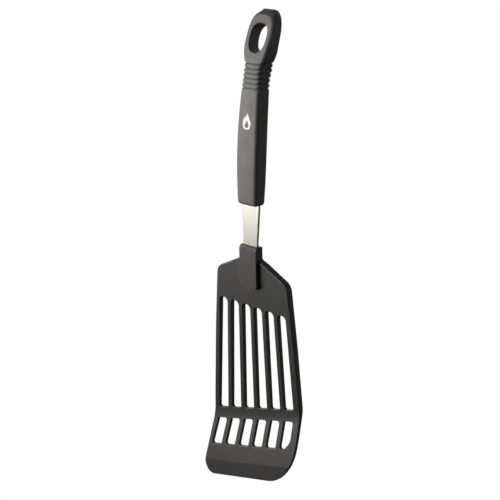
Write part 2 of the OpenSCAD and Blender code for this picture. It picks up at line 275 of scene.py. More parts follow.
def cap_faces(loops, grid, creases, first_extra):
    """Triangles between closed outlines, given as lists of (point, number).
    Returns them and the extra points, which are numbered from first_extra."""
    flat = [p for loop in loops for p, _ in loop]
    index = [i for loop in loops for _, i in loop]
    edges = []
    start = 0
    for loop in loops:
        n = len(loop)
        edges += [(start + k, start + (k + 1) % n) for k in range(n)]
        start += n
    rim_edges = {(min(e), max(e)) for e in edges}
    outer, *holes = ([p for p, _ in loop] for loop in loops)
    rim = np.array(flat)

    extra = []
    for line in creases:
        points, good = clear_of_rim(line, CREASE_GAP, outer, holes, rim)
        for i in np.nonzero(good)[0]:
            if i and good[i - 1]:
                edges.append((len(flat) + len(extra) - 1, len(flat) + len(extra)))
            extra.append(tuple(points[i]))
    points, good = clear_of_rim(grid, RIM_GAP, outer, holes, rim)
    fresh = points[good]
    if extra:
        taken = np.array(extra)
        fresh = [p for p in fresh if np.hypot(*(taken - p).T).min() > POINT_GAP]
    extra += [tuple(p) for p in fresh]

    result = delaunay_2d_cdt([Vector(p) for p in flat + extra], edges, [], 0, WELD, True)
    triangles, origin = result[2], result[3]
    if any(len(o) != 1 for o in origin):
        raise ValueError("outline points coincide")
    triangles = [[origin[k][0] for k in t] for t in triangles]
    kept = kept_triangles(triangles, np.array(flat + extra), rim_edges, outer, holes)
    numbers = index + list(range(first_extra, first_extra + len(extra)))
    return [[numbers[k] for k in t] for t in kept], extra


def flat_piece(loops, rows, grid, creases, surface):
    """Points and faces of a closed piece cut from a bent sheet. loops are its
    outlines in the front view, the outer one first; rows[i] is the rim of
    loops[i]; surface(x, z, side, depth, lift) places a point in space."""
    points, faces, front, back = [], [], [], []
    for number, (loop, rim) in enumerate(zip(loops, rows)):
        if (area(loop) > 0) != (number == 0):
            loop = loop[::-1]
        normals = inward(loop)
        n = len(loop)
        start = len(points)
        for inset, side, depth, lift in rim:
            for (x, z), (nx, nz) in zip(loop, normals):
                points.append((x + nx * inset, z + nz * inset, side, depth, lift))
        for j in range(len(rim) - 1):
            a, b = start + j * n, start + (j + 1) * n
            faces += [(a + k, b + k, b + (k + 1) % n, a + (k + 1) % n) for k in range(n)]
        last = start + (len(rim) - 1) * n
        front.append([(points[start + k][:2], start + k) for k in range(n)])
        back.append([(points[last + k][:2], last + k) for k in range(n)])
    for side, cap in ((0, front), (1, back)):
        triangles, extra = cap_faces(cap, grid, creases, len(points))
        points += [(x, z, side, 0.0, 0.0) for x, z in extra]
        faces += triangles
    return [surface(*p) for p in points], faces


# -------------------------------------------------------------- materials

class Recipe:
    """A small builder of node materials."""

    def __init__(self, name):
        self.material = bpy.data.materials.new(name)
        self.material.use_nodes = True
        self.tree = self.material.node_tree
        self.shader = self.tree.nodes["Principled BSDF"]
        self.place = self.node("ShaderNodeTexCoord").outputs["Object"]

    def node(self, kind, **settings):
        made = self.tree.nodes.new(kind)
        for key, value in settings.items():
            setattr(made, key, value)
        return made

    def link(self, source, target):
        self.tree.links.new(source, target)

    def stretched(self, x, y, z):
        """Object coordinates scaled along each axis."""
        mapping = self.node("ShaderNodeMapping")
        mapping.inputs["Scale"].default_value = (x, y, z)
        self.link(self.place, mapping.inputs["Vector"])
        return mapping.outputs["Vector"]

    def noise(self, scale, detail=3.0, roughness=0.5, place=None):
        made = self.node("ShaderNodeTexNoise")
        made.inputs["Scale"].default_value = scale
        made.inputs["Detail"].default_value = detail
        made.inputs["Roughness"].default_value = roughness
        self.link(place or self.place, made.inputs["Vector"])
        return made.outputs["Fac"]

    def ramp(self, source, *stops):
        """Colour or grey ramp: stops are (position, value or colour)."""
        made = self.node("ShaderNodeValToRGB")
        band = made.color_ramp.elements
        while len(band) < len(stops):
            band.new(0.5)
        for element, (position, value) in zip(band, stops):
            element.position = position
            colour = value if isinstance(value, tuple) else (value, value, value)
            element.color = (*colour, 1.0)
        self.link(source, made.inputs["Fac"])
        return made.outputs["Color"]

    def blend(self, factor, first, second, kind="MIX"):
        """Mix of two colours. Each value is a socket, a colour or a number."""
        made = self.node("ShaderNodeMix", data_type="RGBA", blend_type=kind)
        for value, key in ((factor, "Factor"), (first, "A"), (second, "B")):
            socket = [s for s in made.inputs if s.name == key and s.enabled][0]
            if isinstance(value, bpy.types.NodeSocket):
                self.link(value, socket)
            elif isinstance(value, tuple):
                socket.default_value = (*value, 1.0)
            else:
                socket.default_value = value
        return [s for s in made.outputs if s.enabled][0]

    def bump(self, height, strength, distance, below=None):
        made = self.node("ShaderNodeBump")
        made.inputs["Strength"].default_value = strength
        made.inputs["Distance"].default_value = distance
        self.link(height, made.inputs["Height"])
        if below is not None:
            self.link(below, made.inputs["Normal"])
        return made.outputs["Normal"]

    def edges(self, low, high):
        """1 on worn convex edges, 0 elsewhere."""
        pointed = self.node("ShaderNodeNewGeometry").outputs["Pointiness"]
        return self.ramp(pointed, (low, 0.0), (high, 1.0))

    def finished(self, colour, rough, normal):
        """The material, with these three results on its shader."""
        for source, name in ((colour, "Base Color"), (rough, "Roughness"), (normal, "Normal")):
            self.link(source, self.shader.inputs[name])
        return self.material


def grip_material():
    """Soft-touch moulded handle: warm grey, fine spark grain, rubbed edges."""
    m = Recipe("soft_touch_grip")
    cloud = m.noise(55, 4)
    colour = m.ramp(cloud, (0.3, (0.088, 0.084, 0.078)), (0.7, (0.106, 0.101, 0.094)))
    speck = m.ramp(m.noise(2600, 2), (0.42, 0.86), (0.6, 1.0))
    colour = m.blend(1.0, colour, speck, "MULTIPLY")
    colour = m.blend(m.edges(0.52, 0.6), colour, (0.13, 0.125, 0.115))
    rough = m.ramp(m.noise(160, 5), (0.3, 0.5), (0.7, 0.58))
    grain = m.bump(m.noise(3800, 2), 0.35, 0.00004)
    wave = m.bump(m.noise(45, 2), 0.2, 0.0004, grain)
    return m.finished(colour, rough, wave)


def head_material():
    """Heat-resistant nylon: black grey with flow marks and a fine texture."""
    m = Recipe("black_nylon")
    flow = m.noise(9, 5, 0.55, m.stretched(1.6, 1.6, 0.6))
    tint = m.ramp(flow, (0.34, (0.030, 0.032, 0.028)), (0.66, (0.037, 0.033, 0.031)))
    speck = m.ramp(m.noise(1900, 3), (0.4, 0.84), (0.62, 1.0))
    colour = m.blend(1.0, tint, speck, "MULTIPLY")
    colour = m.blend(m.edges(0.53, 0.63), colour, (0.085, 0.082, 0.077))
    rough = m.ramp(m.noise(120, 5), (0.3, 0.42), (0.7, 0.5))
    grain = m.bump(m.noise(2600, 3), 0.4, 0.00005)
    ripple = m.bump(m.noise(60, 2), 0.2, 0.0003, grain)
    return m.finished(colour, rough, ripple)


def steel_material():
    """Stainless strip, brushed along its length."""
    m = Recipe("brushed_steel")
    along = m.stretched(2600, 2600, 18)
    lines = m.noise(1.0, 4, 0.6, along)
    colour = m.ramp(lines, (0.3, (0.275, 0.264, 0.240)), (0.7, (0.305, 0.294, 0.268)))
    m.shader.inputs["Metallic"].default_value = 1.0
    rough = m.ramp(m.noise(1.0, 3, 0.5, m.stretched(900, 900, 30)), (0.3, 0.26), (0.7, 0.36))
    return m.finished(colour, rough, m.bump(lines, 0.25, 0.00003))


def core_material():
    """Stiff glass-filled core, seen only at the handle's lower end."""
    m = Recipe("filled_core")
    colour = m.ramp(m.noise(900, 4), (0.35, (0.030, 0.030, 0.031)), (0.7, (0.062, 0.061, 0.060)))
    rough = m.ramp(m.noise(300, 3), (0.3, 0.55), (0.7, 0.7))
    return m.finished(colour, rough, m.bump(m.noise(1500, 3), 0.5, 0.00006))


def print_material():
    """White pad print, a little thin in places."""
    m = Recipe("white_print")
    colour = m.ramp(m.noise(700, 4), (0.28, (0.55, 0.54, 0.52)), (0.5, (0.82, 0.82, 0.80)))
    rough = m.ramp(m.noise(400, 3), (0.3, 0.42), (0.7, 0.55))
    return m.finished(colour, rough, m.bump(m.noise(1800, 2), 0.3, 0.00003))


# ----------------------------------------------------------------- handle

# Stations up the handle: height, middle plane, half depth, half width
STATIONS = (
    (-112.2, -10.3, 5.5, 8.9),
    (-98.2, -10.2, 5.9, 9.4),
    (-78.2, -9.9, 6.25, 9.7),
    (-58.2, -9.0, 6.25, 9.5),
    (-43.2, -7.8, 6.25, 9.0),
    (-28.2, -6.1, 6.35, 8.3),
    (-18.2, -3.9, 7.0, 8.0),
    (-6.2, -1.75, 5.85, 8.0),
    (1.8, 0.6, 5.27, 8.0),
    (20, 6.69, 5.27, 8.0),
)
# The loop leans back and is a superellipse; LOOP_START and LOOP_TURNED are the
# heights between which the body turns into it
LOOP_LEAN = math.radians(18.5)
LOOP_HALF_W = GRIP_HIGH.x
LOOP_HALF_L = 20.9
LOOP_RISE = 0.5
LOOP_FLAT_UP = 20.1
LOOP_POWER = 2.3
LOOP_START = -13.4
LOOP_TURNED = -2.2
EYE_HALF_W = 7.2
EYE_HALF_L = 9.6
EYE_POWER = 2.6
EYE_FRONT_R = 0.5
EYE_BACK_R = 1.8
END_R = 2.2
END_FILLET_CUT = 1.6
FILLET = 2.6
TOP_FACET = 5.0
FACET_POWER = 1.05
FACET_TURN = (0.15, 0.85)
CROWN = 0.3
CROWN_FADE = 6
BODY_BLEND = 14
CORE_GAP = 0.06
CORE_HALF_T = 3.2
CORE_TAPER = 0.012
CORE_TAPER_FROM = -58.2
GROOVE_TOP = -15.6
GROOVE_PITCH = 3.25
GROOVE_COUNT = 6
GROOVE_DEPTH = 0.45
GROOVE_ROUND = 1.0
GROOVE_POWER = 2.4
# Heights of the rings within one groove pitch, as parts of it
GROOVE_RINGS = (0.14, 0.28, 0.38, 0.44, 0.48, 0.5, 0.52, 0.56, 0.62, 0.72, 0.86, 1.0)
FACE_STEPS = 24
CORNER_STEPS = 7
SIDE_STEPS = 4
WALL_POINTS = 2 * (CORNER_STEPS + 1) + SIDE_STEPS - 1
BODY_STEPS = 30
CORE_STEPS = 16
END_TURNS = [math.radians(15 * k) for k in range(7)]
OUTLINE_STEPS = 96
OUTLINE_SAMPLES = 400
LEVEL_PART = 0.08
NORMAL_PASSES = 12
FACE_RINGS = 10
EYE_WALL_STEPS = 6


def station(z, column):
    """Smooth value at height z, by a Hermite curve through the stations."""
    def slope(i):
        a, b = STATIONS[max(i - 1, 0)], STATIONS[min(i + 1, len(STATIONS) - 1)]
        return (b[column] - a[column]) / (b[0] - a[0])
    i = 0
    while i < len(STATIONS) - 2 and STATIONS[i + 1][0] <= z:
        i += 1
    low, high = STATIONS[i], STATIONS[i + 1]
    h = high[0] - low[0]
    t = (z - low[0]) / h
    return (low[column] * (2 * t ** 3 - 3 * t ** 2 + 1) + slope(i) * h * (t ** 3 - 2 * t ** 2 + t)
            + high[column] * (3 * t ** 2 - 2 * t ** 3) + slope(i + 1) * h * (t ** 3 - t ** 2))


def loop_half(along):
    """Half width of the hanging loop at a distance along its leaning plane."""
    v = abs(along - LOOP_RISE) / LOOP_HALF_L
    return 0.0 if v >= 1 else LOOP_HALF_W * (1 - v ** LOOP_POWER) ** (1 / LOOP_POWER)


def half_width(z):
    """Half width of the handle, with the body running softly into the loop."""
    body, loop = station(z, 3), loop_half(z / math.cos(LOOP_LEAN))
    return (body ** BODY_BLEND + loop ** BODY_BLEND) ** (1 / BODY_BLEND)


def wall_rows(front_c, front_p, back_c, depth):
    """Side of the handle from the front face to the back face, as rows of
    inset and depth. Its corners are superellipse quarters of size c and power p."""
    def quarter(c, p):
        turns = [math.radians(90) * k / CORNER_STEPS for k in range(CORNER_STEPS + 1)]
        return [(c * (1 - math.sin(t) ** (2 / p)), c * (1 - math.cos(t) ** (2 / p))) for t in turns]

    front = quarter(front_c, front_p)
    back = [(inset, depth - d) for inset, d in quarter(back_c, 2)][::-1]
    between = spaced(front_c, depth - back_c, SIDE_STEPS)[1:-1]
    return front + [(0.0, d) for d in between] + back


def end_inset(z):
    """Inset of the rounded lower end."""
    d = min(z - GRIP_LOW.z, END_R)
    return END_R - math.sqrt(max(END_R ** 2 - (END_R - d) ** 2, 0))


def groove_inset(z):
    """Depth of the grip grooves: narrow valleys between barrel-shaped ribs."""
    k = round((GROOVE_TOP - z) / GROOVE_PITCH)
    if not 0 <= k < GROOVE_COUNT:
        return 0.0
    d = abs(z - GROOVE_TOP + k * GROOVE_PITCH) / (GROOVE_PITCH / 2)
    return GROOVE_DEPTH * max(1 - d, 0) ** GROOVE_POWER


def body_ring(z):
    """One ring of the handle: front face, right side, back face, left side."""
    groove = groove_inset(z)
    inset = end_inset(z) + groove
    a = half_width(z) - inset
    b = station(z, 2) - inset
    c = FILLET - min(end_inset(z), END_FILLET_CUT) + GROOVE_ROUND * groove / GROOVE_DEPTH
    middle = station(z, 1)
    edge = b - CROWN
    wall = wall_rows(c, 2, c, 2 * edge)
    face = spaced(-1, 1, FACE_STEPS)
    front = [((a - c) * s, middle - b + CROWN * s * s, z) for s in face]
    right = [(a - i, middle - edge + d, z) for i, d in wall[1:]]
    back = [((a - c) * -s, middle + b - CROWN * s * s, z) for s in face[1:]]
    left = [(i - a, middle - edge + d, z) for i, d in wall[::-1][1:-1]]
    return front + right + back + left


def core_ring(z):
    """One ring of the cavity that holds the core, with the same numbering."""
    a = (CORE_HIGH.x - CORE_LOW.x) / 2 + CORE_GAP
    b = CORE_HALF_T - max(z - CORE_TAPER_FROM, 0) * CORE_TAPER + CORE_GAP
    middle = station(z, 1)
    face = spaced(-1, 1, FACE_STEPS)
    side = spaced(-1, 1, WALL_POINTS - 1)
    front = [(a * s, middle - b, z) for s in face]
    right = [(a, middle + b * s, z) for s in side[1:]]
    back = [(-a * s, middle + b, z) for s in face[1:]]
    left = [(-a, middle - b * s, z) for s in side[1:-1]]
    return front + right + back + left


def loop_point(x, along, off):
    """A point of the loop: off is its distance behind the middle plane."""
    z = along * math.cos(LOOP_LEAN)
    turn = smooth_step(LOOP_START, LOOP_TURNED, z)
    back = Vector((0, mix(1, math.cos(LOOP_LEAN), turn), -math.sin(LOOP_LEAN) * turn))
    back.normalize()
    return Vector((x, station(z, 1), z)) + back * off


def loop_depth(along):
    """Half depth of the loop, square to its leaning plane."""
    z = along * math.cos(LOOP_LEAN)
    return station(z, 2) * mix(1, math.cos(LOOP_LEAN), smooth_step(LOOP_START, LOOP_TURNED, z))


def outline_path():
    """Half width of the loop at many heights, as a line up the left side,
    over the top and down the right side."""
    start, top = LOOP_START / math.cos(LOOP_LEAN), LOOP_FLAT_UP
    right = []
    for k in range(OUTLINE_SAMPLES + 1):
        along = mix(start, top, math.sin(math.radians(90) * k / OUTLINE_SAMPLES))
        low = along < LOOP_TURNED - 2
        right.append((half_width(along * math.cos(LOOP_LEAN)) if low else loop_half(along), along))
    return [(-x, along) for x, along in right] + right[::-1]


def loop_outline():
    """Evenly spaced points of the loop's outline with their inward normals."""
    path = outline_path()
    far = [0.0]
    for p, q in zip(path, path[1:]):
        far.append(far[-1] + math.dist(p, q))
    places = spaced(0, far[-1], OUTLINE_STEPS)
    xs = np.interp(places, far, [p[0] for p in path])
    zs = np.interp(places, far, [p[1] for p in path])
    points = list(zip(xs, zs))
    normals = []
    for i in range(len(points)):
        q, s = points[max(i - 1, 0)], points[min(i + 1, OUTLINE_STEPS)]
        along = Vector((s[0] - q[0], s[1] - q[1])).normalized()
        level = Vector((1 if i < OUTLINE_STEPS / 2 else -1, 0))
        true = Vector((along.y, -along.x))
        near = min(i, OUTLINE_STEPS - i) / OUTLINE_STEPS
        normals.append(level.lerp(true, smooth_step(0, LEVEL_PART, near)).normalized())
    for _ in range(NORMAL_PASSES):
        inner = zip(normals, normals[1:], normals[2:])
        normals[1:-1] = [(a + b * 2 + c).normalized() for a, b, c in inner]
    return points, normals


def eye_direction(x, along):
    """Place on the eye's rim, in parts of its half width and half length,
    that lies towards a point of the loop's outline."""
    angle = math.atan2(along / EYE_HALF_L, x / EYE_HALF_W)
    c, s = math.cos(angle), math.sin(angle)
    reach = (abs(c) ** EYE_POWER + abs(s) ** EYE_POWER) ** (-1 / EYE_POWER)
    return c * reach, s * reach


def face_drop(x, along):
    """How far the loop's faces fall off at x, where the body's crown fades."""
    edge_x = half_width(LOOP_START) - FILLET
    height = along * math.cos(LOOP_LEAN)
    fade = 1 - smooth_step(LOOP_START, LOOP_START + CROWN_FADE, height)
    return CROWN * fade * min(abs(x) / edge_x, 1) ** 2


def loop_wall(place, normal):
    """The loop's side at one place of its outline: its row of points, and the
    places where the front face and the back face begin."""
    x, along = place
    upward = smooth_step(*FACET_TURN, -normal.y)
    half = loop_depth(along)
    front_c = mix(FILLET, TOP_FACET, upward)
    drop = face_drop(abs(x) - FILLET, along)
    rows = wall_rows(front_c, mix(2, FACET_POWER, upward), FILLET, 2 * (half - drop))
    row = [loop_point(x + normal.x * inset, along + normal.y * inset, depth - half + drop)
           for inset, depth in rows]
    front = (x + normal.x * front_c, along + normal.y * front_c)
    back = (x + normal.x * FILLET, along + normal.y * FILLET)
    return row, front, back


def loop_face(shell, side, rim, border, eye, last):
    """One face of the loop, side -1 in front and 1 behind: rings from its
    border to the eye, and round the eye's rim. last is the border's row."""
    for t in spaced(0, 1, FACE_RINGS)[1:]:
        ring = []
        for (x, along), (c, s) in zip(border, eye):
            px = mix(x, (EYE_HALF_W + rim) * c, t)
            pz = mix(along, (EYE_HALF_L + rim) * s, t)
            ring.append(loop_point(px, pz, side * (loop_depth(pz) - face_drop(px, pz))))
        last = shell.next_row(last, ring)
    for turn in END_TURNS[1:]:
        grow = rim * (1 - math.sin(turn))
        sink = rim * (1 - math.cos(turn))
        ring = []
        for c, s in eye:
            px, pz = (EYE_HALF_W + grow) * c, (EYE_HALF_L + grow) * s
            ring.append(loop_point(px, pz, side * (loop_depth(pz) - sink)))
        last = shell.next_row(last, ring)
    return last


def eye_wall(shell, eye, front_rim, back_rim):
    """The inside of the eye, between the rims of the two faces."""
    last = front_rim
    for t in spaced(0, 1, EYE_WALL_STEPS)[1:-1]:
        ring = []
        for c, s in eye:
            px, pz = EYE_HALF_W * c, EYE_HALF_L * s
            half = loop_depth(pz)
            ring.append(loop_point(px, pz, mix(EYE_FRONT_R - half, half - EYE_BACK_R, t)))
        last = shell.next_row(last, ring)
    shell.join(last, back_rim)


def grip_rings():
    """Rings down the cavity that holds the core, across the lower end, and up
    the outside to the start of the loop."""
    heights = [GRIP_LOW.z + END_R * (1 - math.cos(turn)) for turn in END_TURNS]
    plain_top = GROOVE_TOP - (GROOVE_COUNT - 0.5) * GROOVE_PITCH
    heights += spaced(heights[-1], plain_top, BODY_STEPS)[1:]
    for k in range(GROOVE_COUNT):
        heights += [plain_top + (k + part) * GROOVE_PITCH for part in GROOVE_RINGS]
    heights += [LOOP_START]
    cavity = [core_ring(z) for z in spaced(CORE_HIGH.z, CORE_LOW.z, CORE_STEPS)]
    body = [body_ring(z) for z in heights]
    end = [[tuple(mix(p, q, t) for p, q in zip(a, b)) for a, b in zip(cavity[-1], body[0])]
           for t in (0.33, 0.66)]
    return cavity + end + body


def handle_mesh():
    """The whole grip: core cavity, lower end, body, grooves, loop and eye."""
    shell = Shell()
    rings = [shell.row(ring) for ring in grip_rings()]
    shell.faces.append(tuple(rings[0]))
    for a, b in zip(rings, rings[1:]):
        shell.join(a, b)
    top = rings[-1]
    left = top[:1] + top[:-WALL_POINTS:-1]
    right = top[FACE_STEPS:FACE_STEPS + WALL_POINTS]
    sides = [loop_wall(*at) for at in list(zip(*loop_outline()))[1:-1]]
    walls = [left] + [shell.row(row) for row, _, _ in sides] + [right]
    for a, b in zip(walls, walls[1:]):
        shell.join(a, b, closed=False)

    back_start = FACE_STEPS + WALL_POINTS - 1
    bottoms = top[:FACE_STEPS + 1], top[back_start:back_start + FACE_STEPS + 1][::-1]
    base = LOOP_START / math.cos(LOOP_LEAN)
    eyes = []
    rims = []
    for behind, (bottom, rim) in enumerate(zip(bottoms, (EYE_FRONT_R, EYE_BACK_R))):
        border = [(shell.points[k][0], base) for k in bottom]
        border += [side[1 + behind] for side in sides][::-1]
        eyes.append([eye_direction(x, along) for x, along in border])
        index = bottom + [row[-behind] for row in walls[1:-1]][::-1]
        rims.append(loop_face(shell, 2 * behind - 1, rim, border, eyes[-1], index))
    eye_wall(shell, eyes[0], *rims)
    return shell.points, shell.faces


def make_handle(material):
    points, faces = handle_mesh()
    piece = new_piece("soft_grip", points, faces, material, "handle_grip")
    smooth_shade(piece, 38)


def dress_core(material):
    """The core keeps its CAD shape and gets a look of its own."""
    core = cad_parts["handle_core"]
    core.data.materials.clear()
    core.data.materials.append(material)


# -------------------------------------------------------------- neck strip

STRIP_WIDE = (STRIP_HIGH.x - STRIP_LOW.x) / 2
STRIP_NARROW = 6.6
TANG_HALF = 4.2
STRIP_EDGE = 0.22
STRIP_SHOULDER = GRIP_LOW.z + 4
STRIP_CORNER_R = 2.0
TANG_SHOULDER_R = 1.2
# How far from the handle and from the head the strip's taper begins and ends
TAPER_INSET = 3
LOCK_R = 2.5
LOCKS_BELOW_TOP = (10, 40)
LOCK_ABOVE_END = 8
STRIP_POINT_STEP = 2.0


def circle(x, z, r, count=28):
    turns = [math.radians(360) * k / count for k in range(count)]
    return [(x + r * math.cos(t), z + r * math.sin(t)) for t in turns]


def make_neck(material):
    """Flat steel strip with its tang and locking holes."""
    low, high = STRIP_LOW.z, STRIP_HIGH.z
    half = [
        (TANG_HALF, high, STRIP_CORNER_R),
        (TANG_HALF, STRIP_SHOULDER, 0),
        (STRIP_WIDE, STRIP_SHOULDER, TANG_SHOULDER_R),
        (STRIP_WIDE, GRIP_LOW.z - TAPER_INSET, 0),
        (STRIP_NARROW, HEAD_HIGH.z + TAPER_INSET, 0),
        (STRIP_NARROW, low, STRIP_CORNER_R),
    ]
    corners = [(-x, z, r) for x, z, r in half] + half[::-1]
    outline = rounded([(x, z) for x, z, _ in corners], [r for _, _, r in corners])
    loops = [divided(outline, STRIP_POINT_STEP)]
    locks = [high - down for down in LOCKS_BELOW_TOP] + [low + LOCK_ABOVE_END]
    loops += [circle(0, z, LOCK_R) for z in locks]
    rows = edge_rows(STRIP_EDGE, STRIP_EDGE, 4)
    grid = [(x, z) for z in spaced(low, high, 70) for x in spaced(-7, 7, 7)]

    def surface(x, z, side, depth, _):
        y = STRIP_HIGH.y - depth if side else STRIP_LOW.y + depth
        return (x, y, z)

    points, faces = flat_piece(loops, [rows] * len(loops), grid, [], surface)
    piece = new_piece("steel_neck", points, faces, material, "neck_strip")
    smooth_shade(piece, 40)


# -------------------------------------------------------------------- head

# The blade is drawn in its own plane: x across, up from the bend line
BLADE_LEAN = math.radians(3.7)
BEND = math.radians(19)
BEND_R = 35
SKEW = math.radians(16)
EDGE_SKEW = math.radians(15.2)
HEAD_UP = 129.7
STRIP_TO_BEND = 7.9
BEND_Z = HEAD_HIGH.z - HEAD_UP
BEND_Y = STRIP_LOW.y + STRIP_TO_BEND
BEND_RUN = BEND_R * math.tan(BEND / 2)
FAN_LENGTH = 538
BEND_HALF_W = 44.1
SIDE_FLARE = 0.083
TOP_FLARE = 0.1
LOW_FLARE = 0.05
FLARE_UP = 62
SHOULDER_UP = 110.3
SHOULDER_SLOPE = 0.5
SHOULDER_AT = 28
SHOULDER_R = 8
SIDE_R = 600
BEND_SIDE_R = 250
CORNER_SMALL_R = 9.5
CORNER_BIG_R = 30
EDGE_DOWN = 48
EDGE_BAND = 11.6
BAND_START = EDGE_DOWN - EDGE_BAND
THICK_TOP = 4.2
THICK_BEND = 2.6
THICK_BAND = 2.2
THICK_EDGE = 0.8
RIM_H = 1.2
RIM_W = 2.6
RIM_UP = 118
RIM_FADE = 3
RIM_FOOT_W = 0.9
BLADE_EDGE_R = 0.9
BLADE_BACK_R = 0.5
THIN_PART = 0.46
CREASE_STEP = 0.45
SLOT_COUNT = 6
SLOT_STEP = math.radians(1.43)
SLOT_ANGLE = math.radians(0.97)
SLOT_TURN = math.radians(0.08)
SLOT_TOP_UP = 84.5
SLOT_BEND_GAP = 4.1
SLOT_LOW_END = 24.2
SLOT_CORNER_R = 1.5
SLOT_CUT_PART = 0.55
SLOT_CUT_UP = 5
SLOT_CUT_RADII = (4, 9)
SLOT_EDGE_R = 0.45
SLOT_BACK_R = 0.35
BLADE_POINT_STEP = 1.5
ROOT_R = 4.5
NECK_UP = 7
NECK_R = 3.2
NECK_INSET = 0.4
SOCKET_HALF_W = 8.3
SOCKET_LONG = 31.2
SOCKET_SLOPE = 0.035
SOCKET_BEVEL = 2.0
SOCKET_BEVEL_IN = 1.6
SOCKET_TOP_R = 1.2
SOCKET_R = 3.0
SOCKET_EDGE_R = 0.55
SOCKET_BACK_R = 0.4
SOCKET_POINT_STEP = 1.2
SOCKET_PROUD = 2.8
SOCKET_LOW_SOFT = 2.5
SOCKET_LOW_DEEP = 4
# The socket's back is as far back as the blade's would be this far up
SOCKET_BACK_UP = 19
SOCKET_BACK_OVER = 0.2
SOCKET_BACK_SUNK = 0.6


def section_point(s, d):
    """Section across the bend: s runs down the front, d is the depth."""
    if s < -BEND_RUN:
        return d, -s
    if s > BEND_RUN:
        return -s * math.sin(BEND) + d * math.cos(BEND), -s * math.cos(BEND) - d * math.sin(BEND)
    a = BEND * (s + BEND_RUN) / (2 * BEND_RUN)
    return (BEND_R + d) * math.cos(a) - BEND_R, BEND_RUN - (BEND_R + d) * math.sin(a)


def section_curve(stops):
    """Depth as a function of the distance up, through stops of s and d."""
    bend = spaced(-BEND_RUN, BEND_RUN, 24)
    below = [p for p in stops if p[0] > BEND_RUN]
    above = [p for p in stops if p[0] < -BEND_RUN]
    level = [p[1] for p in stops if abs(p[0]) <= BEND_RUN][0]
    pairs = above + [(s, level) for s in bend] + below
    made = sorted((section_point(s, d)[::-1] for s, d in pairs))
    return [p[0] for p in made], [p[1] for p in made]


FAR_UP = 170
THICK_FAR = THICK_BEND + FAR_UP * (THICK_TOP - THICK_BEND) / SHOULDER_UP
FRONT_CURVE = section_curve([
    (-FAR_UP, 0), (0, 0), (BAND_START, 0),
    (EDGE_DOWN, THICK_BAND - THICK_EDGE), (EDGE_DOWN + 6, THICK_BAND - THICK_EDGE)])
BACK_CURVE = section_curve([
    (-FAR_UP, THICK_FAR), (0, THICK_BEND), (BAND_START, THICK_BAND), (EDGE_DOWN + 6, THICK_BAND)])


def fan_x(angle, up):
    """Where a line of the fan, at an angle from the middle, is at a height."""
    return (FAN_LENGTH - up) * math.tan(angle)


def fan_cross(angle, s):
    """Crossing of a fan line with a line that runs along the bend."""
    t = math.tan(angle)
    up = (FAN_LENGTH * t * math.tan(SKEW) - s / math.cos(SKEW)) / (1 + t * math.tan(SKEW))
    return fan_x(angle, up), up


def side_x(up):
    """Half width of the blade above the bend."""
    return BEND_HALF_W - SIDE_FLARE * min(up, FLARE_UP) - TOP_FLARE * max(up - FLARE_UP, 0)


def low_corner(side):
    """Lower corner of the blade before it is rounded, side -1 left, 1 right."""
    turn = math.tan(EDGE_SKEW)
    low = EDGE_DOWN * math.cos(BEND) / math.cos(EDGE_SKEW)
    x = (BEND_HALF_W + LOW_FLARE * low) / (1 + side * LOW_FLARE * turn)
    return side * x, side * x * turn - low


def blade_outline():
    end_x = side_x(SHOULDER_UP)
    run_x = SOCKET_HALF_W - NECK_INSET
    shoulder = SHOULDER_UP - SHOULDER_SLOPE * (end_x - SHOULDER_AT)
    neck = SHOULDER_UP + SHOULDER_SLOPE * (SHOULDER_AT - run_x)
    corners = [
        (run_x, neck + NECK_UP, NECK_R),
        (-run_x, neck + NECK_UP, NECK_R),
        (-run_x, neck, ROOT_R),
        (-end_x, shoulder, SHOULDER_R),
        (-side_x(FLARE_UP), FLARE_UP, SIDE_R),
        (-BEND_HALF_W, 0, BEND_SIDE_R),
        (*low_corner(-1), CORNER_SMALL_R),
        (*low_corner(1), CORNER_BIG_R),
        (BEND_HALF_W, 0, BEND_SIDE_R),
        (side_x(FLARE_UP), FLARE_UP, SIDE_R),
        (end_x, shoulder, SHOULDER_R),
        (run_x, neck, ROOT_R),
    ]
    return rounded([(x, z) for x, z, _ in corners], [r for _, _, r in corners])


def slot_sides(i):
    """Angles of a slot's two sides in the fan."""
    middle = (i - (SLOT_COUNT - 1) / 2) * SLOT_STEP - SLOT_TURN
    return middle - SLOT_ANGLE / 2, middle + SLOT_ANGLE / 2


def upper_slot(i):
    a, b = slot_sides(i)
    left, right = fan_x(a, SLOT_TOP_UP), fan_x(b, SLOT_TOP_UP)
    top_r = 0.44 * (right - left)
    points = [(left, SLOT_TOP_UP), fan_cross(a, -SLOT_BEND_GAP),
              fan_cross(b, -SLOT_BEND_GAP), (right, SLOT_TOP_UP)]
    return rounded(points, [top_r, SLOT_CORNER_R, SLOT_CORNER_R, top_r])


def lower_slot(i):
    a, b = slot_sides(i)
    low = SLOT_LOW_END * math.cos(BEND)
    left, right, top = (np.array(p) for p in (
        fan_cross(a, low), fan_cross(b, low), fan_cross(b, SLOT_BEND_GAP)))
    ends, radii = [tuple(right)], [SLOT_CORNER_R]
    if i == SLOT_COUNT - 1:
        up = right + (top - right) / np.linalg.norm(top - right) * SLOT_CUT_UP
        ends = [tuple(right + (left - right) * SLOT_CUT_PART), tuple(up)]
        radii = list(SLOT_CUT_RADII)
    points = [fan_cross(a, SLOT_BEND_GAP), tuple(left), *ends, tuple(top)]
    return rounded(points, [SLOT_CORNER_R, SLOT_CORNER_R, *radii, SLOT_CORNER_R])


def blade_place(x, y, up):
    """From the blade's own plane to the CAD frame."""
    return (x, BEND_Y + y * math.cos(BLADE_LEAN) - up * math.sin(BLADE_LEAN),
            BEND_Z + y * math.sin(BLADE_LEAN) + up * math.cos(BLADE_LEAN))


